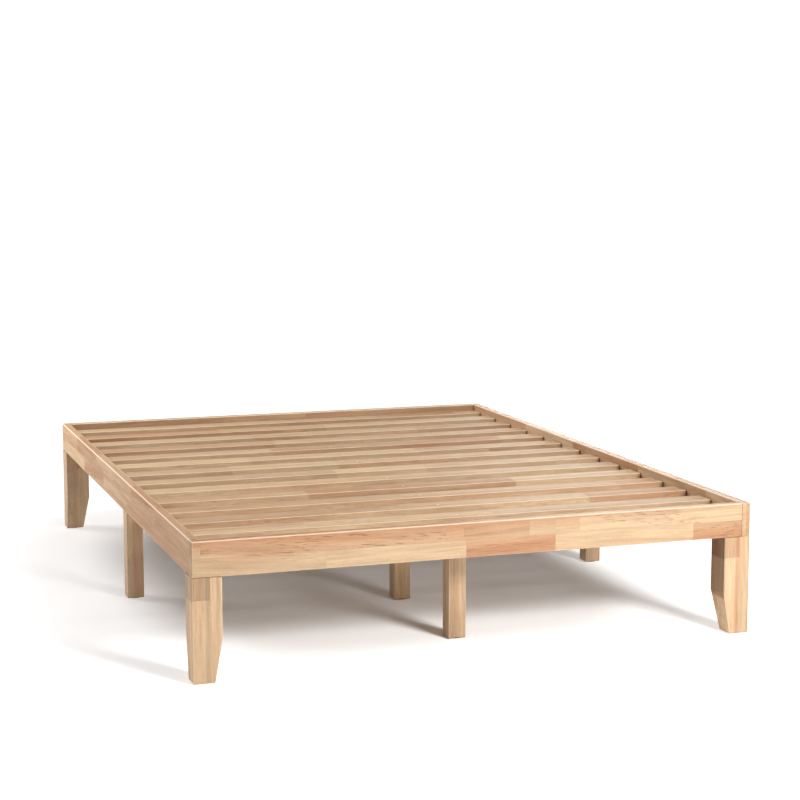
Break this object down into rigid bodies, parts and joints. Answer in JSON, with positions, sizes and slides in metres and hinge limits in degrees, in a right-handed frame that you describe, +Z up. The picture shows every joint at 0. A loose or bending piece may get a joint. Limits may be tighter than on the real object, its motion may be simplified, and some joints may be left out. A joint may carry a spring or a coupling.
{
  "type": "wooden bed frame",
  "caption": "Low wooden platform bed frame: butt-jointed rails around a slat deck, tapered corner legs, square middle legs and a supported centre beam.",
  "frame": {"origin": "on the floor under the middle of the bed", "axes": "+Z up, +Y towards the head end, +X to the right side seen from the foot"},
  "size_m": [1.549, 2.045, 0.364],
  "materials": {
    "rail_wood": "clear satin lacquer on edge-glued staves",
    "leg_wood": "clear satin lacquer on laminated posts",
    "ledger_wood": "planed, unlacquered",
    "slat_wood": "planed, unlacquered",
    "dowel_wood": "fluted beech",
    "zinc_steel": "zinc plated",
    "insert_brass": "turned",
    "hanger_steel": "black powder coat",
    "pad_felt": "pressed felt"
  },
  "bodies": {
    "root": {"foot_rail": "rail_wood", "head_rail": "rail_wood", "left_side_rail": "rail_wood", "right_side_rail": "rail_wood", "foot_left_leg": "leg_wood", "foot_right_leg": "leg_wood", "head_left_leg": "leg_wood", "head_right_leg": "leg_wood", "left_middle_leg": "leg_wood", "right_middle_leg": "leg_wood", "centre_leg_1": "leg_wood", "centre_leg_2": "leg_wood", "centre_leg_3": "leg_wood", "centre_leg_4": "leg_wood", "left_ledger_foot_end": "ledger_wood", "left_ledger_head_end": "ledger_wood", "right_ledger_foot_end": "ledger_wood", "right_ledger_head_end": "ledger_wood", "centre_beam": "ledger_wood", "slat_01": "slat_wood", "slat_02": "slat_wood", "slat_03": "slat_wood", "slat_04": "slat_wood", "slat_05": "slat_wood", "slat_06": "slat_wood", "slat_07": "slat_wood", "slat_08": "slat_wood", "slat_09": "slat_wood", "slat_10": "slat_wood", "slat_11": "slat_wood", "slat_12": "slat_wood", "slat_13": "slat_wood", "slat_14": "slat_wood", "corner_dowels": "dowel_wood", "corner_bolts": "zinc_steel", "middle_leg_bolts": "zinc_steel", "bolt_washers": "zinc_steel", "centre_leg_hanger_bolts": "zinc_steel", "slat_screws": "zinc_steel", "ledger_screws": "zinc_steel", "hanger_flange_screws": "zinc_steel", "hanger_cheek_screws": "zinc_steel", "rail_threaded_inserts": "insert_brass", "beam_threaded_inserts": "insert_brass", "foot_beam_hanger": "hanger_steel", "head_beam_hanger": "hanger_steel", "felt_pads": "pad_felt"}
  },
  "joints": []
}
